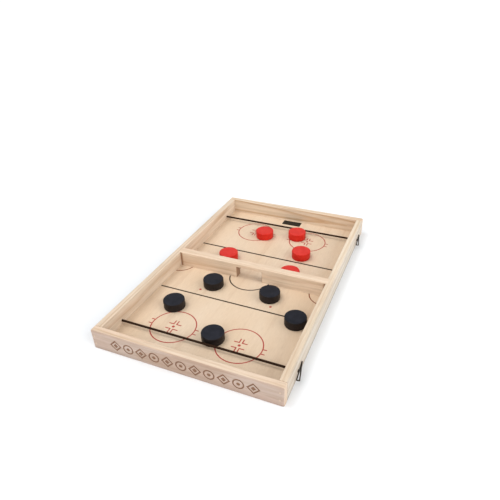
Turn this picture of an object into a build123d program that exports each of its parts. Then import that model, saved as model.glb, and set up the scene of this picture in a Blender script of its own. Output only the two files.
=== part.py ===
from build123d import *
import math
import os

# Table-top sling-puck board: a shallow pine tray with a gated centre divider,
# one elastic cord stretched across each end, and ten loose wooden pucks.
# +X runs across the tray, +Y along it towards the far end, +Z is up.
# The origin is at the middle of the underside. All lengths are in millimetres.

# ---- driving dimensions: tray ----
tray_width = 216.0
tray_length = 350.0
tray_height = 24.0
rail_thickness = 8.5
floor_thickness = 3.0
floor_recess = 0.5
rebate_depth = 4.0
rebate_clearance = 0.25
corner_radius = 2.0
outer_edge_radius = 1.2
inner_edge_radius = 0.8

# ---- driving dimensions: divider and its gate ----
divider_thickness = 11.0
divider_housing_depth = 2.0
gate_width = 35.0
gate_height = 16.0
gate_edge_radius = 1.0

# ---- driving dimensions: elastic cords ----
cord_radius = 1.3
cord_hole_radius = 1.45
cord_offset = 135.5
cord_height = 8.5
pivot_gap = 0.35
tip_gap = 0.15

# ---- driving dimensions: cord end hardware ----
ferrule_radius = 1.65
ferrule_length = 2.0
ferrule_grip = 0.5
toggle_wire_radius = 0.65
toggle_upper_end = (0.8, 11.0, 2.9)
toggle_lower_end = (4.9, -9.6, -2.3)
toggle_base_end = (1.7, -9.3, -3.0)

# ---- driving dimensions: pucks ----
puck_radius = 12.7
puck_height = 11.0
puck_edge_radius = 1.1
puck_float = 0.1

# ---- driving dimensions: nails ----
brad_radius = 0.6
brad_length = 22.0
brad_head_radius = 1.0
brad_head_depth = 0.6
brad_heights = (7.0, 17.0)
pin_radius = 0.6
pin_head_radius = 1.4
pin_head_depth = 0.4
pin_length = 11.5
side_pin_stations = (-110.0, -40.0, 40.0, 110.0)
end_pin_stations = (-70.0, 0.0, 70.0)
divider_pin_stations = (-80.0, -35.0, 35.0, 80.0)

# ---- driving dimensions: carved frieze on the near rail ----
frieze_height = 12.0
frieze_pitch = 15.5
frieze_items_each_side = 5
carving_depth = 0.5
groove_width = 1.6
ring_radius = 6.3
ring_dot_radius = 2.0
diamond_reach = 7.3
diamond_core_reach = 2.9

# ---- dimensions worked out from the ones above ----
half_width = tray_width / 2
half_length = tray_length / 2
inner_half_width = half_width - rail_thickness
inner_half_length = half_length - rail_thickness
floor_bottom = floor_recess
floor_top = floor_bottom + floor_thickness
side_rail_length = tray_length - 2 * rail_thickness
rail_centre_x = half_width - rail_thickness / 2
rail_centre_y = half_length - rail_thickness / 2

# Centre of each puck at rest, across and along the tray.
black_puck_places = [(-37.0, -32.7), (38.2, -31.4), (-61.2, -86.7), (82.2, -65.3), (7.6, -121.2)]
red_puck_places = [(-22.5, 105.3), (23.2, 119.1), (45.1, 70.3), (-46.6, 31.7), (46.4, 18.5)]


def block(width, depth, height, centre_x, centre_y, bottom):
    """A plain block standing on the height given as its bottom."""
    middle = bottom + height / 2
    return Pos(centre_x, centre_y, middle) * Box(width, depth, height)


def rod(start, end, radius):
    """A round rod from one point to another."""
    path = Vector(*end) - Vector(*start)
    plane = Plane(origin=start, z_dir=path)
    return plane * Cylinder(radius, path.length, align=(Align.CENTER, Align.CENTER, Align.MIN))


def top_edges(piece, axis):
    """The edges along one axis at the very top of a piece."""
    return piece.edges().filter_by(axis).group_by(Axis.Z)[-1]


def brad(corner_x, end_sign, height):
    """A corner brad driven along the tray, its head flush with the end rail's outer face."""
    face_y = end_sign * half_length
    head_end = face_y - end_sign * brad_head_depth
    point = face_y - end_sign * brad_length
    shank = rod((corner_x, head_end, height), (corner_x, point, height), brad_radius)
    head = rod((corner_x, face_y, height), (corner_x, head_end, height), brad_head_radius)
    return shank + head


def floor_pin(x, y):
    """A panel pin driven up through the floor panel, its head against the underside."""
    shank = rod((x, y, floor_bottom), (x, y, floor_bottom + pin_length), pin_radius)
    head = rod((x, y, floor_bottom - pin_head_depth), (x, y, floor_bottom), pin_head_radius)
    return shank + head


def all_corner_brads():
    brads = []
    for side in (-1, 1):
        for end in (-1, 1):
            for height in brad_heights:
                brads.append(brad(side * rail_centre_x, end, height))
    return brads


def all_rim_pins():
    pin_x = inner_half_width + rebate_depth / 2
    pin_y = inner_half_length + rebate_depth / 2
    pins = []
    for side in (-1, 1):
        for station in side_pin_stations:
            pins.append(floor_pin(side * pin_x, station))
        for station in end_pin_stations:
            pins.append(floor_pin(station, side * pin_y))
    return pins


def all_divider_pins():
    return [floor_pin(station, 0) for station in divider_pin_stations]


def floor_rebate():
    """The recess that the floor panel lies in, open below."""
    width = 2 * (inner_half_width + rebate_depth)
    length = 2 * (inner_half_length + rebate_depth)
    return block(width, length, floor_top, 0, 0, 0)


def floor_panel(nails):
    width = 2 * (inner_half_width + rebate_depth - rebate_clearance)
    length = 2 * (inner_half_length + rebate_depth - rebate_clearance)
    panel = block(width, length, floor_thickness, 0, 0, floor_bottom)
    return panel - nails


def end_rail(end_sign, nails):
    """A full-width rail across one end, rounded at its outer corners and along its top."""
    rail = block(tray_width, rail_thickness, tray_height, 0, end_sign * rail_centre_y, 0)
    outward = Axis((0, 0, 0), (0, end_sign, 0))
    rail = fillet(rail.edges().filter_by(Axis.Z).group_by(outward)[-1], corner_radius)
    rail = fillet(rail.faces().sort_by(outward)[-1].edges().group_by(Axis.Z)[-1], outer_edge_radius)
    rail = fillet(top_edges(rail, Axis.X).sort_by(outward)[0], inner_edge_radius)
    return rail - floor_rebate() - nails


def side_rail(side_sign, nails):
    """A rail down one side, with the divider's housing and the two cord holes."""
    rail = block(rail_thickness, side_rail_length, tray_height, side_sign * rail_centre_x, 0, 0)
    outer_x = side_sign * half_width
    inner_x = side_sign * inner_half_width
    outward = Axis((0, 0, 0), (side_sign, 0, 0))
    rail = fillet(top_edges(rail, Axis.Y).sort_by(outward)[-1], outer_edge_radius)
    rail = fillet(top_edges(rail, Axis.Y).sort_by(outward)[0], inner_edge_radius)
    housing_x = side_sign * (inner_half_width + divider_housing_depth / 2)
    housing_height = tray_height - floor_top
    rail -= block(divider_housing_depth, divider_thickness, housing_height, housing_x, 0, floor_top)
    for end in (-1, 1):
        hole_start = (inner_x, end * cord_offset, cord_height)
        hole_end = (outer_x, end * cord_offset, cord_height)
        rail -= rod(hole_start, hole_end, cord_hole_radius)
    return rail - floor_rebate() - nails


def centre_divider(nails):
    """The divider, let into both side rails, with the gate open at the floor."""
    width = 2 * (inner_half_width + divider_housing_depth)
    height = tray_height - floor_top
    wall = block(width, divider_thickness, height, 0, 0, floor_top)
    wall = fillet(top_edges(wall, Axis.X), inner_edge_radius)
    gate = block(gate_width, divider_thickness, gate_height, 0, 0, floor_top)
    top_corners = gate.edges().filter_by(Axis.Y).group_by(Axis.Z)[-1]
    gate = fillet(top_corners, gate_edge_radius)
    return wall - gate - nails


def carved_ring(x):
    ring = Circle(ring_radius) - Circle(ring_radius - groove_width) + Circle(ring_dot_radius)
    return Pos(x, 0) * ring


def carved_diamond(x):
    inner_reach = diamond_reach - groove_width * math.sqrt(2)
    outer = RegularPolygon(diamond_reach, 4)
    inner = RegularPolygon(inner_reach, 4)
    core = RegularPolygon(diamond_core_reach, 4)
    return Pos(x, 0) * (outer - inner + core)


def frieze():
    """A row of plain rings and diamonds carved into the near rail's outer face."""
    outline = Sketch()
    for place in range(-frieze_items_each_side, frieze_items_each_side + 1):
        x = place * frieze_pitch
        outline += carved_ring(x) if place % 2 == 0 else carved_diamond(x)
    face_plane = Plane(origin=(0, -half_length, frieze_height), x_dir=(1, 0, 0), z_dir=(0, -1, 0))
    return extrude(face_plane * outline, -carving_depth)


def cord_half(side_sign, end_sign):
    """Half of a stretched cord: it pivots at its hole's mouth and meets the other half mid-tray."""
    mouth = (side_sign * inner_half_width, end_sign * cord_offset, cord_height)
    tip = (side_sign * tip_gap, end_sign * cord_offset, cord_height)
    return rod(mouth, tip, cord_radius) + Pos(*mouth) * Sphere(cord_radius)


def cord_tail(side_sign, end_sign):
    """The end of a cord, which lies in the rail's hole and in its ferrule."""
    start_x = side_sign * (inner_half_width + cord_radius + pivot_gap)
    end_x = side_sign * (half_width + ferrule_grip)
    y = end_sign * cord_offset
    return rod((start_x, y, cord_height), (end_x, y, cord_height), cord_radius)


def toggle_point(offsets, side_sign, end_sign):
    """A point given as distance off the rail, along the tray, and up, from a cord's exit."""
    off_rail, along, up = offsets
    x = side_sign * (half_width + off_rail)
    return (x, end_sign * cord_offset + along, cord_height + up)


def wire_toggle(side_sign, end_sign):
    """A narrow triangular wire link, its inner leg lying across the cord hole."""
    upper = toggle_point(toggle_upper_end, side_sign, end_sign)
    lower = toggle_point(toggle_lower_end, side_sign, end_sign)
    base = toggle_point(toggle_base_end, side_sign, end_sign)
    corners = [upper, lower, base]
    wire = rod(base, upper, toggle_wire_radius)
    for start, end in zip(corners, corners[1:]):
        wire += rod(start, end, toggle_wire_radius)
    for bend in corners:
        wire += Pos(*bend) * Sphere(toggle_wire_radius)
    return wire


def ferrule(side_sign, end_sign, tail, toggle):
    """A crimped ferrule seated on the rail's outer face, gripping the cord and the link's inner leg."""
    y = end_sign * cord_offset
    seat = (side_sign * half_width, y, cord_height)
    cap = (side_sign * (half_width + ferrule_length), y, cord_height)
    return rod(seat, cap, ferrule_radius) - tail - toggle


def puck(x, y):
    """A round wooden puck with softly rounded edges."""
    bottom = floor_top + puck_float
    disc = Pos(x, y, bottom + puck_height / 2) * Cylinder(puck_radius, puck_height)
    return fillet(disc.edges().filter_by(GeomType.CIRCLE), puck_edge_radius)


def build_nodes():
    """Every node of the board by name."""
    corner_brads = all_corner_brads()
    rim_pins = all_rim_pins()
    divider_pins = all_divider_pins()
    nodes = {}
    nodes["floor_panel"] = floor_panel(rim_pins + divider_pins)
    nodes["near_end_rail"] = end_rail(-1, corner_brads + rim_pins) - frieze()
    nodes["far_end_rail"] = end_rail(1, corner_brads + rim_pins)
    nodes["left_side_rail"] = side_rail(-1, corner_brads + rim_pins)
    nodes["right_side_rail"] = side_rail(1, corner_brads + rim_pins)
    nodes["centre_divider"] = centre_divider(divider_pins)
    nodes["corner_brads"] = Compound(children=corner_brads)
    nodes["rim_pins"] = Compound(children=rim_pins)
    nodes["divider_pins"] = Compound(children=divider_pins)
    for end_name, end_sign in (("near", -1), ("far", 1)):
        for side_name, side_sign in (("left", -1), ("right", 1)):
            place = end_name + "_" + side_name
            tail = cord_tail(side_sign, end_sign)
            toggle = wire_toggle(side_sign, end_sign)
            nodes[place + "_cord_half"] = cord_half(side_sign, end_sign)
            nodes[place + "_cord_tail"] = tail
            nodes[place + "_toggle"] = toggle
            nodes[place + "_ferrule"] = ferrule(side_sign, end_sign, tail, toggle)
    for colour, places in (("black", black_puck_places), ("red", red_puck_places)):
        for number, place in enumerate(places, start=1):
            nodes[colour + "_puck_" + str(number)] = puck(*place)
    return nodes


os.makedirs("parts", exist_ok=True)
for name, shape in build_nodes().items():
    export_step(shape, "parts/" + name + ".step")
    print(name, round(shape.volume, 1))
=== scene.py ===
import math

import bpy
from mathutils import Matrix, Vector


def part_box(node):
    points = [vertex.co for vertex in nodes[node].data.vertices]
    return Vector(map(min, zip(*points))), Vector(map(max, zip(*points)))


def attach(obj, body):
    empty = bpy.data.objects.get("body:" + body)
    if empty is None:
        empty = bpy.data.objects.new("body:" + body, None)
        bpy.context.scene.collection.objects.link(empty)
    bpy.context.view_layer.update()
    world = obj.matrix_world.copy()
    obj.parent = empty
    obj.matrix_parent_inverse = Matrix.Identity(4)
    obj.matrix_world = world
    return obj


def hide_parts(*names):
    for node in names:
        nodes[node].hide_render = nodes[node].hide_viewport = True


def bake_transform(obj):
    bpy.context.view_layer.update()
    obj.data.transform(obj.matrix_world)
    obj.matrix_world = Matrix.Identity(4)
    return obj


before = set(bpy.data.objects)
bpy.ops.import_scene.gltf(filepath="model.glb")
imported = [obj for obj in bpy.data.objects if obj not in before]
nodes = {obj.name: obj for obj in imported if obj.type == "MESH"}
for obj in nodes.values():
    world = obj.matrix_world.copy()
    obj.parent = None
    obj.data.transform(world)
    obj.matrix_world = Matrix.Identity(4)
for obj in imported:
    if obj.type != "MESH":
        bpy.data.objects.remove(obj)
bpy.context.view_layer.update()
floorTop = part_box("floor_panel")[1].z
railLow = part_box("near_end_rail")[0]
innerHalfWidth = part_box("right_side_rail")[0].x
dividerLow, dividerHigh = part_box("centre_divider")
hair = 0.000001     # metres; places closer than this count as the same
print("frame loaded with", len(nodes), "nodes")


def clearSelection():
    bpy.ops.object.select_all(action="DESELECT")


def nameIt(name):
    piece = bpy.context.object
    piece.name = name
    piece.data.name = name
    return piece


def pick(piece, elements, test):
    # in object mode, selects only the faces, edges or vertices that pass the test
    for group in (piece.data.vertices, piece.data.edges, piece.data.polygons):
        group.foreach_set("select", [False] * len(group))
    for element in getattr(piece.data, elements):
        element.select = test(element)


def spanAcross(piece, edge):
    # how far an edge runs along X
    first, second = [piece.data.vertices[corner].co for corner in edge.vertices]
    return abs(first.x - second.x)


def editMode(kind):
    bpy.ops.object.mode_set(mode="EDIT")
    bpy.ops.mesh.select_mode(type=kind)


def objectMode():
    bpy.ops.object.mode_set(mode="OBJECT")


def applyPlace(piece):
    clearSelection()
    piece.select_set(True)
    bpy.context.view_layer.objects.active = piece
    bpy.ops.object.transform_apply(location=True, rotation=True, scale=True)


def copyOf(piece, name, place):
    twin = piece.copy()
    twin.data = piece.data.copy()
    twin.name = name
    twin.data.name = name
    twin.data.transform(place)
    bpy.context.scene.collection.objects.link(twin)
    return twin


def turned(degrees):
    # a turn about the upright axis, as a 4 by 4 matrix
    return Matrix.Rotation(math.radians(degrees), 4, "Z")


def joinAll(pieces, name):
    clearSelection()
    for piece in pieces:
        piece.select_set(True)
    bpy.context.view_layer.objects.active = pieces[0]
    bpy.ops.object.join()
    return nameIt(name)


def dress(piece, material):
    piece.data.materials.clear()
    piece.data.materials.append(material)


def startMaterial(name):
    material = bpy.data.materials.new(name)
    material.use_nodes = True
    return material


def addNode(material, kind, feeds=None, **settings):
    node = material.node_tree.nodes.new("ShaderNode" + kind)
    for key, value in settings.items():
        setattr(node, key, value)
    for key, value in (feeds or {}).items():
        if isinstance(value, bpy.types.NodeSocket):
            material.node_tree.links.new(value, node.inputs[key])
        else:
            node.inputs[key].default_value = value
    return node


def objectSpace(material):
    return addNode(material, "TexCoord").outputs["Object"]


def mathNode(material, operation, first, second=0.0, clamp=False):
    feeds = {0: first, 1: second}
    return addNode(material, "Math", feeds, operation=operation, use_clamp=clamp).outputs[0]


def rampNode(material, factor, stops):
    node = addNode(material, "ValToRGB", {0: factor})
    elements = node.color_ramp.elements
    elements[0].position, elements[0].color = stops[0][0], (*stops[0][1], 1)
    elements[1].position, elements[1].color = stops[-1][0], (*stops[-1][1], 1)
    for position, colour in stops[1:-1]:
        elements.new(position).color = (*colour, 1)
    return node.outputs["Color"]


def mixColours(material, factor, first, second, blend="MIX"):
    # on this node, sockets 6 and 7 and output 2 are the ones for colours
    node = addNode(material, "Mix", data_type="RGBA", blend_type=blend)
    for socket, value in ((node.inputs[0], factor), (node.inputs[6], first), (node.inputs[7], second)):
        if isinstance(value, bpy.types.NodeSocket):
            material.node_tree.links.new(value, socket)
        elif isinstance(value, tuple):
            socket.default_value = (*value, 1)
        else:
            socket.default_value = value
    return node.outputs[2]


def tinted(material, colour, tint):
    return mixColours(material, 1.0, colour, tint, "MULTIPLY")


def easeBetween(material, value, low, high):
    # 0 below low, 1 above high, and smooth between
    feeds = {"Value": value, "From Min": low, "From Max": high}
    return addNode(material, "MapRange", feeds, interpolation_type="SMOOTHSTEP").outputs["Result"]


def spread(material, value, toLow, toHigh, swing=(0.0, 1.0)):
    # toLow where the value is at the start of its swing, toHigh where it is at the end
    feeds = {"Value": value, "From Min": swing[0], "From Max": swing[1], "To Min": toLow, "To Max": toHigh}
    return addNode(material, "MapRange", feeds).outputs["Result"]


def speckle(material, where, scale, detail=3.0):
    return addNode(material, "TexNoise", {"Vector": where, "Scale": scale, "Detail": detail}).outputs[0]


def stretchedNoise(material, vector, look):
    # look: how fine the noise is along and across the grain, its detail and its roughness
    along, across, detail, roughness = look
    grain = addNode(material, "Mapping", {"Vector": vector, "Scale": (along, across, across)}).outputs[0]
    feeds = {"Vector": grain, "Scale": 1.0, "Detail": detail, "Roughness": roughness}
    return addNode(material, "TexNoise", feeds).outputs


def finishSurface(material, colour, roughness, height, bumpDistance, specular=0.5, metallic=0.0):
    shader = material.node_tree.nodes["Principled BSDF"]
    material.node_tree.links.new(colour, shader.inputs["Base Color"])
    material.node_tree.links.new(roughness, shader.inputs["Roughness"])
    bump = addNode(material, "Bump", {"Height": height, "Distance": bumpDistance, "Strength": 1.0})
    material.node_tree.links.new(bump.outputs["Normal"], shader.inputs["Normal"])
    shader.inputs["Specular IOR Level"].default_value = specular
    shader.inputs["Metallic"].default_value = metallic


camera = {
    "place": (0.1948, -0.43486, 0.3378),
    "turn": (56.943, 0.751, 22.176),   # degrees
    "lens": 32.364,
    "shift": (-0.0202, 0.0235),
    "clipStart": 0.01,
}


def placeCamera():
    data = bpy.data.cameras.new("camera")
    data.lens = camera["lens"]
    data.shift_x, data.shift_y = camera["shift"]
    data.clip_start = camera["clipStart"]
    eye = bpy.data.objects.new("camera", data)
    eye.location = camera["place"]
    eye.rotation_euler = [math.radians(angle) for angle in camera["turn"]]
    bpy.context.scene.collection.objects.link(eye)
    bpy.context.scene.camera = eye


placeCamera()
print("camera placed")


studio = {
    "floorSize": 16.0,
    "floorTone": (0.82, 0.84, 0.865),
    "paperGrain": {"scale": 6.0, "detail": 2.0, "from": 0.3, "to": 0.7, "lift": 0.015, "bump": 0.00002},
    "paperRough": (-2.0, 1.0),      # the grain's range that would run from smooth to fully rough
    # how bright the surrounding white walls are, from the horizon (0) to straight overhead (1)
    "walls": [(0.0, 1.0), (0.10, 0.98), (0.34, 0.58), (1.0, 0.48)],
    "wallStrength": 1.0,
    # each lamp: bearing in degrees anticlockwise from +X, height above the floor, softness, strength, tone
    "lamps": {
        "keyLamp": (186, 66, 26, 1.04, (1.0, 0.99, 0.98)),
        "overheadLamp": (90, 82, 70, 0.04, (1.0, 1.0, 1.0)),
        "sideLamp": (-8, 28, 50, 1.62, (1.0, 1.0, 0.99)),
        "frontLamp": (-98, 36, 50, 1.16, (1.0, 1.0, 0.99)),
    },
}


def hangLamp(name, bearing, height, softness, strength, tone):
    data = bpy.data.lights.new(name, "SUN")
    data.angle = math.radians(softness)
    data.energy = strength
    data.color = tone
    lamp = bpy.data.objects.new(name, data)
    flat, up = math.radians(bearing), math.radians(height)
    towards = Vector((math.cos(flat) * math.cos(up), math.sin(flat) * math.cos(up), math.sin(up)))
    lamp.location = towards
    lamp.rotation_euler = (-towards).to_track_quat("-Z", "Y").to_euler()
    bpy.context.scene.collection.objects.link(lamp)


def buildWalls():
    # one white surround, brightest at the horizon, that both lights the tray and stands behind it
    world = bpy.data.worlds.new("studioWorld")
    world.use_nodes = True
    tree = world.node_tree
    bearing = tree.nodes.new("ShaderNodeTexCoord")
    parts = tree.nodes.new("ShaderNodeSeparateXYZ")
    ramp = tree.nodes.new("ShaderNodeValToRGB")
    elements = ramp.color_ramp.elements
    for element, (height, tone) in zip(elements, (studio["walls"][0], studio["walls"][-1])):
        element.position, element.color = height, (tone, tone, tone, 1)
    for height, tone in studio["walls"][1:-1]:
        elements.new(height).color = (tone, tone, tone, 1)
    tree.links.new(bearing.outputs["Generated"], parts.inputs[0])
    tree.links.new(parts.outputs[2], ramp.inputs[0])
    background = tree.nodes["Background"]
    tree.links.new(ramp.outputs["Color"], background.inputs["Color"])
    background.inputs["Strength"].default_value = studio["wallStrength"]
    bpy.context.scene.world = world


def buildStudio():
    clearSelection()
    bpy.ops.mesh.primitive_plane_add(size=studio["floorSize"], location=(0, 0, 0))
    floor = nameIt("studioFloor")
    paper = startMaterial("studioPaper")
    look = studio["paperGrain"]
    grain = speckle(paper, objectSpace(paper), look["scale"], look["detail"])
    tone = studio["floorTone"]
    lifted = [part + look["lift"] for part in tone]
    colour = rampNode(paper, grain, [(look["from"], tone), (look["to"], lifted)])
    rough = easeBetween(paper, grain, *studio["paperRough"])
    finishSurface(paper, colour, rough, grain, look["bump"])
    dress(floor, paper)
    buildWalls()
    for name, lamp in studio["lamps"].items():
        hangLamp(name, *lamp)
    bpy.context.scene.view_settings.view_transform = "Standard"


buildStudio()
print("studio lit")


pine = {
    # where the wood is pinker sapwood and where it is paler
    "sapwood": [(0.38, (0.69, 0.535, 0.40)), (0.60, (0.72, 0.59, 0.455))],
    "late": (0.50, 0.31, 0.17),         # the darker line that ends each year
    # how much of that darker wood there is, through one year
    "ring": [(0.0, 0.25), (0.12, 0.0), (0.50, 0.10), (0.86, 0.90), (1.0, 0.55)],
    "yearScale": 1.37,                  # picks how strong each year is
    "yearStrength": (0.25, 0.65),
    "faintestYear": 0.25,
    "sway": 0.0045,                     # how far the rings wander, in metres
    # each noise: along and across the grain, detail, roughness
    "wander": (5.0, 20.0, 2.0, 0.45),
    "fibre": (60.0, 1700.0, 2.0, 0.6),
    "streak": (11.0, 230.0, 3.0, 0.6),
    "cloud": (9.0, 38.0, 3.0, 0.5),
    "streakShade": [(0.32, (0.87, 0.84, 0.80)), (0.60, (1.04, 1.04, 1.05))],
    "fibreShade": [(0.30, (0.90, 0.88, 0.86)), (0.62, (1.03, 1.03, 1.03))],
    "ringRelief": 0.8,                  # how far the late wood stands up, against the fibres
    "bump": 0.00010,
    "roughness": (0.50, 0.68),
    "specular": 0.3,
}

# each board is sawn from its own place in the log: which way its grain runs, where the pith lies beside it,
# how the pith leans over the length, the width of a year ring, how strongly the rings show, its tint, and
# how strong the painted contact shadow along its lower outer edge is
boards = {
    "near_end_rail": {"along": "X", "pith": (0.060, -0.004), "lean": (0.020, 0.012), "year": 0.0046,
                      "late": 0.55, "tint": (0.955, 0.945, 0.95), "contactShadeStrength": 0.75},
    "far_end_rail": {"along": "X", "pith": (-0.156, -0.013), "lean": (0.022, 0.030), "year": 0.0040,
                     "late": 1.0, "tint": (0.965, 0.96, 0.94), "contactShadeStrength": 0.85},
    "left_side_rail": {"along": "Y", "pith": (-0.060, -0.030), "lean": (0.012, 0.015), "year": 0.0047,
                       "late": 0.70, "tint": (0.955, 0.975, 1.0), "contactShadeStrength": 0.85},
    "right_side_rail": {"along": "Y", "pith": (0.024, -0.060), "lean": (-0.006, 0.008), "year": 0.0052,
                        "late": 0.42, "tint": (0.985, 1.03, 1.05), "contactShadeStrength": 1.15},
    "centre_divider": {"along": "X", "pith": (0.045, -0.030), "lean": (0.010, -0.012), "year": 0.0048,
                       "late": 0.50, "tint": (1.0, 0.99, 0.985)},
}

carving = {
    # the carving's depth, half its length, and its bottom and top
    "depth": 0.0005,
    "reach": 0.098,
    "low": 0.002,
    "high": 0.022,
    "edge": (0.08, 0.7),                # where the burn begins and is full, as shares of the depth
    "tone": (0.24, 0.128, 0.074),
    "frontShade": (0.725, 0.70, 0.755),      # painted shade: a darker tint over the whole outer face
}

# the outer faces get a painted shade, and their lower edge a darker painted contact shadow
outerShade = {
    "skin": 0.001,                      # how deep the painted face shade goes
    "faceShade": (0.87, 0.93, 1.02),
    "contactShadeTo": 0.0095,                   # the painted contact shadow fades out at this height
    "contactShadeFade": 3.0,
    "contactShade": (0.68, 0.68, 0.70),
}

# the divider shows darker end grain at the gate, and painted shade in the corners where it meets the rails
endGrainAndShade = {
    "gateHalfWidth": 0.0175,
    "gateTop": 0.0194,
    "edge": 0.00025,                    # how deep the end grain shows
    "gateStrength": 0.72,
    "corner": (0.0040, 0.0013),         # where the painted corner shade begins and is full, measured in from the rail
    "cornerShadeTop": 0.0230,
    "cornerShadeStrength": 0.95,
    # the tone of the end grain, also used for the painted corner shade
    "tone": (0.27, 0.14, 0.075),
}


def grainSpace(material, along):
    where = objectSpace(material)
    turn = (0, 0, 0) if along == "X" else (0, 0, -math.pi / 2)
    return where, addNode(material, "Mapping", {"Vector": where, "Rotation": turn}).outputs[0]


def allOf(material, masks):
    # the product of the masks and strengths
    mask = masks[0]
    for part in masks[1:]:
        mask = mathNode(material, "MULTIPLY", mask, part)
    return mask


def carvedMask(material, where):
    # all that lies behind the rail's outer face, within the carving's length and height: the burnt floor of
    # the carving, and the rail's inner face too, because nothing ends the mask through the thickness
    parts = addNode(material, "SeparateXYZ", {0: where}).outputs
    begin, full = [railLow.y + share * carving["depth"] for share in carving["edge"]]
    below = easeBetween(material, parts[1], begin, full)
    sides = mathNode(material, "LESS_THAN", mathNode(material, "ABSOLUTE", parts[0]), carving["reach"])
    bottom = mathNode(material, "GREATER_THAN", parts[2], carving["low"])
    top = mathNode(material, "LESS_THAN", parts[2], carving["high"])
    return allOf(material, (below, sides, bottom, top))


def outerShadeMasks(material, where, name):
    # the skin of the rail's outer face, and the painted contact shadow on that skin towards the table
    low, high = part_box(name)
    parts = addNode(material, "SeparateXYZ", {0: where}).outputs
    axis = 1 if "end_rail" in name else 0
    across = mathNode(material, "ABSOLUTE", parts[axis])
    face = max(abs(low[axis]), abs(high[axis])) - outerShade["skin"]
    skin = mathNode(material, "GREATER_THAN", across, face)
    height = mathNode(material, "SUBTRACT", outerShade["contactShadeTo"], parts[2])
    height = mathNode(material, "DIVIDE", height, outerShade["contactShadeTo"], clamp=True)
    contactShade = mathNode(material, "POWER", height, outerShade["contactShadeFade"])
    return skin, allOf(material, (contactShade, boards[name]["contactShadeStrength"], skin))


def endGrainAndShadeMask(material, where):
    parts = addNode(material, "SeparateXYZ", {0: where}).outputs
    across = mathNode(material, "ABSOLUTE", parts[0])
    fromGate = mathNode(material, "ABSOLUTE", mathNode(material, "SUBTRACT", across, endGrainAndShade["gateHalfWidth"]))
    atGate = mathNode(material, "LESS_THAN", fromGate, endGrainAndShade["edge"])
    underGate = mathNode(material, "LESS_THAN", parts[2], endGrainAndShade["gateTop"])
    gate = allOf(material, (atGate, underGate, endGrainAndShade["gateStrength"]))
    # painted shade in the corners where the divider meets the rails
    faint, full = [innerHalfWidth - reach for reach in endGrainAndShade["corner"]]
    atCornerShade = easeBetween(material, across, faint, full)
    underTop = mathNode(material, "LESS_THAN", parts[2], endGrainAndShade["cornerShadeTop"])
    corner = allOf(material, (atCornerShade, underTop, endGrainAndShade["cornerShadeStrength"]))
    return mathNode(material, "MAXIMUM", gate, corner)


def yearRings(material, grain, board):
    # distance from the pith counted in years, bent by slow noise, gives each ring its place and strength
    parts = addNode(material, "SeparateXYZ", {0: grain}).outputs
    wander = stretchedNoise(material, grain, pine["wander"])["Color"]
    wander = addNode(material, "SeparateColor", {0: wander}).outputs
    sides = []
    for axis, offset, lean, sway in zip((1, 2), board["pith"], board["lean"], wander):
        side = mathNode(material, "ADD", parts[axis], offset)
        side = mathNode(material, "ADD", side, mathNode(material, "MULTIPLY", parts[0], lean))
        drift = mathNode(material, "MULTIPLY", mathNode(material, "SUBTRACT", sway, 0.5), 2 * pine["sway"])
        sides.append(mathNode(material, "ADD", side, drift))
    flat = addNode(material, "CombineXYZ", {1: sides[0], 2: sides[1]}).outputs[0]
    reach = addNode(material, "VectorMath", {0: flat}, operation="LENGTH").outputs["Value"]
    years = mathNode(material, "DIVIDE", reach, board["year"])
    feeds = {"W": mathNode(material, "FLOOR", years), "Scale": pine["yearScale"], "Detail": 0.0}
    strength = addNode(material, "TexNoise", feeds, noise_dimensions="1D").outputs[0]
    strength = easeBetween(material, strength, *pine["yearStrength"])
    faintest = pine["faintestYear"]
    strength = mathNode(material, "ADD", mathNode(material, "MULTIPLY", strength, 1 - faintest), faintest)
    return mathNode(material, "FRACT", years), strength


def pineMaterial(name, board):
    material = startMaterial("pine_" + name)
    where, grain = grainSpace(material, board["along"])
    year, strength = yearRings(material, grain, board)
    kinds = ("fibre", "streak", "cloud")
    fibre, streak, cloud = [stretchedNoise(material, grain, pine[kind])[0] for kind in kinds]
    base = rampNode(material, cloud, pine["sapwood"])
    ring = rampNode(material, year, [(position, (amount,) * 3) for position, amount in pine["ring"]])
    weight = allOf(material, (ring, strength, board["late"]))
    colour = mixColours(material, weight, base, pine["late"])
    colour = tinted(material, colour, rampNode(material, streak, pine["streakShade"]))
    colour = tinted(material, colour, rampNode(material, fibre, pine["fibreShade"]))
    colour = tinted(material, colour, board["tint"])
    height = mathNode(material, "ADD", fibre, mathNode(material, "MULTIPLY", weight, pine["ringRelief"]))
    if name == "centre_divider":
        # darker end grain at the gate, and painted shade in the corners by the rails
        colour = mixColours(material, endGrainAndShadeMask(material, where), colour, endGrainAndShade["tone"])
    else:
        # painted shade: the outer face is tinted darker, the near rail's most
        skin, contactShade = outerShadeMasks(material, where, name)
        faceShade = carving["frontShade"] if name == "near_end_rail" else outerShade["faceShade"]
        colour = mixColours(material, skin, colour, tinted(material, colour, faceShade))
        if name == "near_end_rail":
            colour = mixColours(material, carvedMask(material, where), colour, carving["tone"])
        # painted contact shadow: darker towards the table along the outer face
        colour = mixColours(material, contactShade, colour, tinted(material, colour, outerShade["contactShade"]))
    rough = spread(material, fibre, *pine["roughness"])
    finishSurface(material, colour, rough, height, pine["bump"], specular=pine["specular"])
    return material


plywood = {
    "veneer": [(0.36, (0.675, 0.515, 0.365)), (0.62, (0.70, 0.56, 0.42))],      # from warm to pale
    "line": (0.54, 0.37, 0.245),
    "lineFrom": (0.50, 0.75),
    "lineStrength": 0.30,
    "pores": [(0.3, (0.92, 0.90, 0.88)), (0.62, (1.02, 1.02, 1.02))],
    # each noise: along and across the grain, detail, roughness
    "broad": (7.0, 17.0, 4.0, 0.55),
    "figure": (6.0, 120.0, 3.0, 0.6),
    "fibre": (110.0, 2300.0, 2.0, 0.5),
    "bump": 0.00003,
    "roughness": (0.45, 0.62),
    "specular": 0.3,
}


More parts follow.
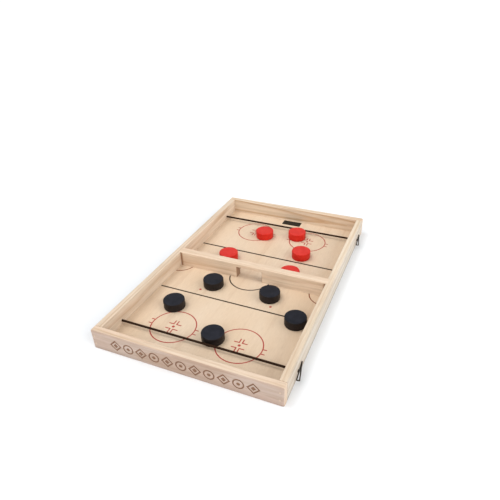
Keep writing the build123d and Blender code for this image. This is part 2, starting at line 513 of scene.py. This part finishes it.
def plywoodMaterial():
    material = startMaterial("plywoodVeneer")
    grain = grainSpace(material, "Y")[1]
    kinds = ("broad", "figure", "fibre")
    broad, figure, fibre = [stretchedNoise(material, grain, plywood[kind])[0] for kind in kinds]
    colour = rampNode(material, broad, plywood["veneer"])
    lines = easeBetween(material, figure, *plywood["lineFrom"])
    lines = mathNode(material, "MULTIPLY", lines, plywood["lineStrength"])
    colour = mixColours(material, lines, colour, plywood["line"])
    colour = tinted(material, colour, rampNode(material, fibre, plywood["pores"]))
    rough = spread(material, fibre, *plywood["roughness"])
    finishSurface(material, colour, rough, fibre, plywood["bump"], specular=plywood["specular"])
    return material


for boardName, board in boards.items():
    dress(nodes[boardName], pineMaterial(boardName, board))
dress(nodes["floor_panel"], plywoodMaterial())
print("boards grained:", len(boards))


metals = {
    "toggleWire": {"tone": (0.085, 0.070, 0.060), "dull": (0.040, 0.033, 0.029), "rough": (0.35, 0.55)},
    "nailSteel": {"tone": (0.52, 0.51, 0.49), "dull": (0.33, 0.31, 0.29), "rough": (0.25, 0.5)},
}

metalGrain = {
    "scale": 2600.0,
    "dullAt": 0.35,
    "brightAt": 0.65,
    "bump": 0.00003,
    "metallic": 0.85,
}

# the corner brads are set below the face and stopped with wood filler
filler = {
    "depth": 0.0003,
    "tone": (0.60, 0.47, 0.35),
    "dark": (0.53, 0.40, 0.29),
    "scale": 1900.0,
    "rough": (0.55, 0.75),
    "bump": 0.00002,
    "specular": 0.3,
}


def grainyTone(material, fine, look):
    stops = [(metalGrain["dullAt"], look["dull"]), (metalGrain["brightAt"], look["tone"])]
    return rampNode(material, fine, stops)


def metalMaterial(name, look):
    material = startMaterial(name)
    fine = speckle(material, objectSpace(material), metalGrain["scale"])
    rough = spread(material, fine, *look["rough"])
    colour = grainyTone(material, fine, look)
    finishSurface(material, colour, rough, fine, metalGrain["bump"], metallic=metalGrain["metallic"])
    return material


def fillerMaterial():
    material = startMaterial("stoppedBrads")
    where = objectSpace(material)
    fine = speckle(material, where, filler["scale"])
    stopped = grainyTone(material, fine, {"dull": filler["dark"], "tone": filler["tone"]})
    steel = grainyTone(material, fine, metals["nailSteel"])
    along = mathNode(material, "ABSOLUTE", addNode(material, "SeparateXYZ", {0: where}).outputs[1])
    outside = mathNode(material, "GREATER_THAN", along, -railLow.y - filler["depth"])
    colour = mixColours(material, outside, steel, stopped)
    rough = spread(material, fine, *filler["rough"])
    finishSurface(material, colour, rough, fine, filler["bump"], specular=filler["specular"])
    return material


toggleMetal = metalMaterial("toggleWire", metals["toggleWire"])
nailMetal = metalMaterial("nailSteel", metals["nailSteel"])
dress(nodes["corner_brads"], fillerMaterial())
for nodeName in ("rim_pins", "divider_pins"):
    dress(nodes[nodeName], nailMetal)
print("nails finished")


toggle = {
    # each corner: off the rail, along the tray and up, from the middle of the cord hole
    "corners": [(0.0008, 0.0110, 0.0029), (0.0049, -0.0096, -0.0023), (0.0017, -0.0093, -0.0030)],
    "bend": 0.0006,             # how far each corner's bend reaches along the wire
    "bendSteps": 6,
    "wire": 0.00065,
    "wireResolution": 4,
    "smoothUnder": 50,          # degrees
}

ferrule = {
    "sides": 32,
    "edge": 0.00028,
    "edgeSteps": 3,
    "cuts": 5,                  # rounds of points along it, of which the middle three are pinched
    "crimp": 0.80,              # how flat they are pinched
    "smoothUnder": 50,
}


def pieceName(place, kind):
    end, side = place.split("_")
    return end + side.capitalize() + kind


def exitOf(place, side):
    low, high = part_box(place + "_cord_tail")
    return Vector((side * -railLow.x, (low.y + high.y) / 2, (low.z + high.z) / 2))


def bendToggle(place, side):
    # three corners in a ring of wire, rounded at each corner, then given their thickness
    start = exitOf(place, side)
    clearSelection()
    bpy.ops.mesh.primitive_circle_add(vertices=3, location=(0, 0, 0))
    piece = bpy.context.object
    for corner, (off, along, up) in zip(piece.data.vertices, toggle["corners"]):
        corner.co = start + Vector((side * off, along, up))
    editMode("VERT")
    bpy.ops.mesh.select_all(action="SELECT")
    bpy.ops.mesh.bevel(offset=toggle["bend"], segments=toggle["bendSteps"], profile=0.5, affect="VERTICES")
    objectMode()
    bpy.ops.object.convert(target="CURVE")
    piece = bpy.context.object
    piece.data.bevel_depth = toggle["wire"]
    piece.data.bevel_resolution = toggle["wireResolution"]
    bpy.ops.object.convert(target="MESH")
    piece = nameIt(pieceName(place, "Toggle"))
    bpy.ops.object.shade_smooth_by_angle(angle=math.radians(toggle["smoothUnder"]))
    dress(piece, toggleMetal)
    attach(piece, "tray")
    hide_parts(place + "_toggle")


def crimpFerrule(place, side):
    low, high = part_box(place + "_ferrule")
    middle = (low + high) / 2
    length = high.x - low.x
    radius = (high.z - low.z) / 2
    clearSelection()
    bpy.ops.mesh.primitive_cylinder_add(vertices=ferrule["sides"], radius=radius, depth=length,
                                        end_fill_type="NGON", location=middle, rotation=(0, math.pi / 2, 0))
    piece = nameIt(pieceName(place, "Ferrule"))
    applyPlace(piece)
    pick(piece, "edges", lambda edge: spanAcross(piece, edge) < hair)
    editMode("EDGE")
    bpy.ops.mesh.bevel(offset=ferrule["edge"], segments=ferrule["edgeSteps"], profile=0.5)
    objectMode()
    pick(piece, "edges", lambda edge: spanAcross(piece, edge) > length / 2)
    editMode("EDGE")
    bpy.ops.mesh.subdivide(number_cuts=ferrule["cuts"])
    objectMode()
    crimpReach = length / (ferrule["cuts"] + 1)
    pick(piece, "vertices", lambda corner: abs(corner.co.x - middle.x) < crimpReach)
    editMode("VERT")
    bpy.ops.transform.resize(value=(1, 1, ferrule["crimp"]), center_override=middle)
    objectMode()
    bpy.ops.object.shade_smooth_by_angle(angle=math.radians(ferrule["smoothUnder"]))
    dress(piece, toggleMetal)
    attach(piece, "tray")
    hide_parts(place + "_ferrule")


for endName in ("near", "far"):
    for sideName, side in (("left", -1), ("right", 1)):
        bendToggle(endName + "_" + sideName, side)
        crimpFerrule(endName + "_" + sideName, side)
print("toggles bent and ferrules crimped")


rink = {
    "sink": 0.00002,            # how far the ink film starts below the veneer's face
    "film": 0.00006,            # thickness of the film
    "line": 0.0013,
    "ringSides": 120,
    "faceoffRadius": 0.0259,
    "faceoffSpots": [(-0.0437, -0.1189), (0.0376, -0.1196), (-0.0405, 0.1137), (0.0409, 0.1130)],
    "dotRadius": 0.0017,
    "dotSides": 24,
    # the brackets round a face-off dot: how far off it their inner corners and their tips lie
    "cornerGap": (0.0018, 0.0042),
    "cornerReach": (0.0078, 0.0102),
    "tickHeight": 0.0034,
    "tickReach": 0.0047,
    "tickRounding": 0.5,        # as a share of half the line's width
    "centreRadius": 0.0273,
    "centreLine": 0.0016,
    # each side arc: how far out its middle is, how far off the divider's middle, and its radius
    "sideArcs": {"Left": (-0.1020, 0.0003, 0.0198), "Right": (0.1010, 0.0014, 0.0213)},
    # each thin line: its place, its turn in degrees and its width
    "zoneLines": {"near": (-0.0569, -0.32, 0.0020), "far": (0.0555, -0.55, 0.0025)},
    "goals": [(-0.0020, -0.1580), (0.0018, 0.1587)],
    "goalSize": (0.0285, 0.0130),
    "goalRounding": 0.0007,
    "roundingSteps": 5,
    "spots": [(-0.0490, -0.0460), (0.0451, -0.0470), (-0.0465, 0.0445), (0.0445, 0.0425)],
    "spotRadius": 0.0016,
}

inks = {
    "redInk": {"tone": (0.37, 0.045, 0.036), "thin": (0.46, 0.10, 0.075)},
    "rustInk": {"tone": (0.18, 0.042, 0.012), "thin": (0.25, 0.066, 0.024)},
    "brownInk": {"tone": (0.020, 0.010, 0.007), "thin": (0.050, 0.028, 0.018)},
    "blackInk": {"tone": (0.012, 0.011, 0.009), "thin": (0.034, 0.028, 0.020)},
}

inkFilm = {
    "scale": 1500.0,
    "fullAt": 0.42,
    "thinAt": 0.70,
    "rough": (0.4, 0.65),
    "bump": 0.00001,
    "specular": 0.15,
}


def inkMaterial(name, look):
    material = startMaterial(name)
    fine = speckle(material, objectSpace(material), inkFilm["scale"])
    stops = [(inkFilm["fullAt"], look["tone"]), (inkFilm["thinAt"], look["thin"])]
    colour = rampNode(material, fine, stops)
    rough = spread(material, fine, *inkFilm["rough"])
    finishSurface(material, colour, rough, fine, inkFilm["bump"], specular=inkFilm["specular"])
    return material


def disc(radius, sides):
    bpy.ops.mesh.primitive_circle_add(vertices=sides, radius=radius, fill_type="NGON", location=(0, 0, 0))
    return bpy.context.object


def ring(radius, width):
    piece = disc(radius + width / 2, rink["ringSides"])
    editMode("FACE")
    bpy.ops.mesh.select_all(action="SELECT")
    bpy.ops.mesh.inset(thickness=width)
    bpy.ops.mesh.delete(type="FACE")
    objectMode()
    return piece


def bar(lowX, lowY, highX, highY, rounding=0.0):
    middle = ((lowX + highX) / 2, (lowY + highY) / 2, 0)
    bpy.ops.mesh.primitive_plane_add(size=1, location=middle)
    piece = bpy.context.object
    piece.scale = (highX - lowX, highY - lowY, 1)
    applyPlace(piece)
    if rounding:
        editMode("VERT")
        bpy.ops.mesh.select_all(action="SELECT")
        bpy.ops.mesh.bevel(offset=rounding, segments=rink["roundingSteps"], profile=0.5, affect="VERTICES")
        objectMode()
    return piece


def cut(piece, point, normal):
    # keeps what lies behind the plane
    clearSelection()
    piece.select_set(True)
    bpy.context.view_layer.objects.active = piece
    editMode("FACE")
    bpy.ops.mesh.select_all(action="SELECT")
    bpy.ops.mesh.bisect(plane_co=point, plane_no=normal, clear_outer=True)
    objectMode()


def printFilm(piece, name, material):
    # gives flat shapes the thickness of ink, with their place in their mesh
    clearSelection()
    piece.select_set(True)
    bpy.context.view_layer.objects.active = piece
    thick = piece.modifiers.new("film", "SOLIDIFY")
    thick.thickness = rink["film"]
    thick.offset = 1.0
    bpy.ops.object.modifier_apply(modifier=thick.name)
    piece.data.transform(Matrix.Translation((0, 0, floorTop - rink["sink"])))
    piece.name = name
    piece.data.name = name
    dress(piece, material)
    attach(piece, "tray")
    return piece


def cornerMark():
    # one bracket beside the face-off dot: a square, drawn out sideways and then forwards
    half = rink["line"] / 2
    gapX, gapY = rink["cornerGap"]
    reachX, reachY = rink["cornerReach"]
    piece = bar(gapX - half, gapY - half, gapX + half, gapY + half)
    pick(piece, "edges", lambda edge: all(piece.data.vertices[v].co.x > gapX for v in edge.vertices))
    editMode("EDGE")
    bpy.ops.mesh.extrude_region_move(TRANSFORM_OT_translate={"value": (reachX - gapX - half, 0, 0)})
    objectMode()

    def topOfSquare(edge):
        ends = [piece.data.vertices[v].co for v in edge.vertices]
        return all(end.y > gapY and end.x < gapX + half + hair for end in ends)

    pick(piece, "edges", topOfSquare)
    editMode("EDGE")
    bpy.ops.mesh.extrude_region_move(TRANSFORM_OT_translate={"value": (0, reachY - gapY - half, 0)})
    objectMode()
    return piece


def faceoffMaster():
    parts = [ring(rink["faceoffRadius"], rink["line"]), disc(rink["dotRadius"], rink["dotSides"])]
    corner = cornerMark()
    for flipX in (-1, 1):
        for flipY in (-1, 1):
            place = Matrix.Diagonal((flipX, flipY, 1, 1))
            twin = copyOf(corner, "corner", place)
            if flipX * flipY < 0:
                twin.data.flip_normals()
            parts.append(twin)
    bpy.data.objects.remove(corner)
    half = rink["line"] / 2
    edge = math.sqrt(rink["faceoffRadius"] ** 2 - rink["tickHeight"] ** 2)
    for side in (-1, 1):
        for end in (-1, 1):
            near = side * (edge + half)
            far = side * (edge + rink["tickReach"])
            y = end * rink["tickHeight"]
            rounding = half * rink["tickRounding"]
            parts.append(bar(min(near, far), y - half, max(near, far), y + half, rounding))
    return joinAll(parts, "faceoffMaster")


def halfRing(radius, width, middle, end, name, material):
    # an arc that stops at the divider and at the side rails
    piece = ring(radius, width)
    piece.data.transform(Matrix.Translation(middle))
    face = dividerLow.y if end < 0 else dividerHigh.y
    cut(piece, (0, face, 0), (0, -end, 0))
    for side in (-1, 1):
        cut(piece, (side * innerHalfWidth, 0, 0), (side, 0, 0))
    return printFilm(piece, name, material)


def printRink():
    clearSelection()
    red, rust, brown, black = [inkMaterial(name, look) for name, look in inks.items()]
    master = faceoffMaster()
    for number, (x, y) in enumerate(rink["faceoffSpots"], start=1):
        mark = copyOf(master, "faceoff", Matrix.Translation((x, y, 0)))
        printFilm(mark, "faceoffPrint_%d" % number, red)
    bpy.data.objects.remove(master)
    for end, endName in ((-1, "near"), (1, "far")):
        halfRing(rink["centreRadius"], rink["centreLine"], (0, 0, 0), end, endName + "CentreArc", brown)
        for sideName, (x, off, radius) in rink["sideArcs"].items():
            halfRing(radius, rink["line"], (x, end * off, 0), end, endName + sideName + "SideArc", rust)
        y, degrees, width = rink["zoneLines"][endName]
        line = bar(-innerHalfWidth, -width / 2, innerHalfWidth, width / 2)
        line.data.transform(Matrix.Translation((0, y, 0)) @ turned(degrees))
        for side in (-1, 1):
            cut(line, (side * innerHalfWidth, 0, 0), (side, 0, 0))
        printFilm(line, endName + "ZoneLine", brown)
    halfX, halfY = [size / 2 for size in rink["goalSize"]]
    for endName, (x, y) in zip(("near", "far"), rink["goals"]):
        goal = bar(x - halfX, y - halfY, x + halfX, y + halfY, rink["goalRounding"])
        printFilm(goal, endName + "GoalPrint", black)
    for number, (x, y) in enumerate(rink["spots"], start=1):
        spot = disc(rink["spotRadius"], rink["dotSides"])
        spot.data.transform(Matrix.Translation((x, y, 0)))
        printFilm(spot, "spotPrint_%d" % number, red)


printRink()
print("rink printed")


puck = {
    "perColour": 5,
    "turnStep": 37,             # degrees from one puck's grain to the next
    "sides": 96,
    "rounding": 0.0011,
    "roundingSteps": 5,
    "crown": [(0.0034, 0.00007), (0.0034, 0.00004)],   # inset, then rise, twice over the top face
    "levelNormal": 0.99,        # a face whose normal is this near to upright is level
    "smoothUnder": 40,          # degrees
    "cloudScale": 160.0,
    "thinAt": (0.35, 0.72),     # where the paint starts to thin and where it is thinnest
    "roughSwing": (0.3, 0.7),   # the cloud's range that runs from the shinier paint to the duller
    "peelScale": 1400.0,
    "peelDetail": 2.0,
    "peelShare": 0.5,
    "grain": (140.0, 1700.0, 2.0, 0.5),     # the wood, just felt through the paint
    "bump": 0.00004,
    # each paint's side tint is painted shade on the puck's sides
    "paints": {
        "black": {"tone": (0.008, 0.009, 0.014), "thin": (0.015, 0.016, 0.024), "side": (1.10, 0.70, 0.42),
                  "rough": (0.38, 0.54), "shine": 0.16},
        "red": {"tone": (0.555, 0.021, 0.014), "thin": (0.625, 0.038, 0.027), "side": (0.93, 0.55, 0.38),
                "rough": (0.38, 0.54), "shine": 0.2},
    },
}


def paintMaterial(name, look):
    material = startMaterial(name)
    where = objectSpace(material)
    cloud = speckle(material, where, puck["cloudScale"])
    peel = speckle(material, where, puck["peelScale"], puck["peelDetail"])
    grain = stretchedNoise(material, where, puck["grain"])[0]
    colour = rampNode(material, cloud, list(zip(puck["thinAt"], (look["tone"], look["thin"]))))
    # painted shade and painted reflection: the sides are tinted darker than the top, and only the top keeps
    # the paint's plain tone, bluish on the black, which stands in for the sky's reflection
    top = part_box("black_puck_1")[1].z
    height = addNode(material, "SeparateXYZ", {0: where}).outputs[2]
    unshadedTop = easeBetween(material, height, top - puck["rounding"], top)
    colour = mixColours(material, unshadedTop, tinted(material, colour, look["side"]), colour)
    rough = spread(material, cloud, *look["rough"], swing=puck["roughSwing"])
    relief = mathNode(material, "ADD", mathNode(material, "MULTIPLY", peel, puck["peelShare"]), grain)
    finishSurface(material, colour, rough, relief, puck["bump"], specular=look["shine"])
    return material


def puckMaster():
    low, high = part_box("black_puck_1")
    radius = (high.x - low.x) / 2
    rise = sum(step[1] for step in puck["crown"])
    height = high.z - low.z - rise
    clearSelection()
    bpy.ops.mesh.primitive_cylinder_add(vertices=puck["sides"], radius=radius, depth=height,
                                        end_fill_type="NGON", location=(0, 0, 0))
    piece = nameIt("puckMaster")
    corners = piece.data.vertices
    pick(piece, "edges", lambda edge: corners[edge.vertices[0]].co.z == corners[edge.vertices[1]].co.z)
    editMode("EDGE")
    bpy.ops.mesh.bevel(offset=puck["rounding"], segments=puck["roundingSteps"], profile=0.5)
    objectMode()
    level = puck["levelNormal"]
    for inset, lift in puck["crown"]:
        widest = max(face.area for face in piece.data.polygons if face.normal.z > level)
        pick(piece, "polygons", lambda face: face.normal.z > level and face.area == widest)
        editMode("FACE")
        bpy.ops.mesh.inset(thickness=inset)
        bpy.ops.transform.translate(value=(0, 0, lift))
        objectMode()
    bpy.ops.object.shade_smooth_by_angle(angle=math.radians(puck["smoothUnder"]))
    piece.data.transform(Matrix.Translation((0, 0, low.z + height / 2)))
    return piece


def buildPucks():
    master = puckMaster()
    for colour, look in puck["paints"].items():
        paint = paintMaterial(colour + "Paint", look)
        for number in range(1, puck["perColour"] + 1):
            node = "%s_puck_%d" % (colour, number)
            low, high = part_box(node)
            place = Matrix.Translation(((low.x + high.x) / 2, (low.y + high.y) / 2, 0))
            place = place @ turned(puck["turnStep"] * number)
            piece = copyOf(master, "%sPuck_%d" % (colour, number), place)
            dress(piece, paint)
            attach(piece, node)
            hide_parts(node)
    bpy.data.objects.remove(master)


buildPucks()
print("pucks painted")


cord = {
    "around": 40,
    "step": 0.00034,            # length of one facet along the cord
    "firstCuts": 5,
    "strands": 10,
    "braidPitch": 0.0052,
    "strandShape": 0.7,         # below 1 the strands are plumper than a plain wave
    "relief": 0.00010,
    "overlap": 0.0052,          # how far each half runs past mid tray, so that the drawn cord stays closed
    "slim": 0.90,               # the overlapping stretch is this much thinner
    "bendFrom": 0.0016,         # the bend starts this far inside the rail
    "bendTo": 0.0030,           # and ends this far out over the tray
    # painted shade: darkest in the grooves between the strands, lighter on their tops
    "grooveShadeTones": [(0.15, (0.006, 0.003, 0.0015)), (0.6, (0.020, 0.008, 0.003)), (0.95, (0.038, 0.018, 0.009))],
    "rough": (0.85, 0.55),
    "bump": 0.00002,
    "specular": 0.07,
    "smoothUnder": 60,          # degrees
}


def cordMaterial():
    material = startMaterial("braidedElastic")
    strand = addNode(material, "Attribute", attribute_name="strand").outputs["Fac"]
    # painted shade in the braid's grooves
    colour = rampNode(material, strand, cord["grooveShadeTones"])
    rough = spread(material, strand, *cord["rough"])
    finishSurface(material, colour, rough, strand, cord["bump"], specular=cord["specular"])
    return material


def braidAt(angle, along):
    # two families of strands wind opposite ways round the core
    turns = 2 * math.pi * along / cord["braidPitch"]
    count = cord["strands"]
    first = 0.5 + 0.5 * math.cos(count * angle + turns)
    second = 0.5 + 0.5 * math.cos(count * angle - turns)
    return max(first, second) ** cord["strandShape"]


def buildCord(end, side, material):
    name = "%s_%s" % (end, side)
    sign = -1 if side == "left" else 1
    tailLow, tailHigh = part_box(name + "_cord_tail")
    radius = (tailHigh.z - tailLow.z) / 2
    y, z = (tailLow.y + tailHigh.y) / 2, (tailLow.z + tailHigh.z) / 2
    tailEnd = max(abs(tailLow.x), abs(tailHigh.x))
    length = tailEnd + cord["overlap"]
    middle = (sign * (tailEnd - length / 2), y, z)
    clearSelection()
    bpy.ops.mesh.primitive_cylinder_add(vertices=cord["around"], radius=radius, depth=length,
                                        end_fill_type="NGON", location=middle, rotation=(0, math.pi / 2, 0))
    piece = nameIt(end + side.capitalize() + "Cord")
    applyPlace(piece)
    # two rounds of cuts, because one round makes a hundred at most
    for cuts in (cord["firstCuts"], int(length / cord["step"] / (cord["firstCuts"] + 1))):
        pick(piece, "edges", lambda edge: spanAcross(piece, edge) > hair)
        editMode("EDGE")
        bpy.ops.mesh.subdivide(number_cuts=cuts)
        objectMode()
    strand = piece.data.attributes.new("strand", "FLOAT", "POINT")
    heights = []
    for corner in piece.data.vertices:
        x = sign * corner.co.x
        around = Vector((corner.co.y - y, corner.co.z - z))
        braid = braidAt(math.atan2(around.y, around.x), corner.co.x)
        thin = 1.0
        if x <= 0:
            # past mid tray the cord is slimmer, and its tip is domed
            tip = min(1.0, (x + cord["overlap"]) / radius)
            thin = cord["slim"] * math.sqrt(max(0.0, 1 - (1 - tip) ** 2))
        around *= thin * (radius - cord["relief"] * (1 - braid)) / radius
        corner.co.y, corner.co.z = y + around.x, z + around.y
        heights.append(braid)
    strand.data.foreach_set("value", heights)
    bpy.ops.object.shade_smooth_by_angle(angle=math.radians(cord["smoothUnder"]))
    dress(piece, material)
    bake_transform(piece)
    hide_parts(name + "_cord_half", name + "_cord_tail")


elastic = cordMaterial()
for endName in ("near", "far"):
    for sideName in ("left", "right"):
        buildCord(endName, sideName, elastic)
print("cords stretched")
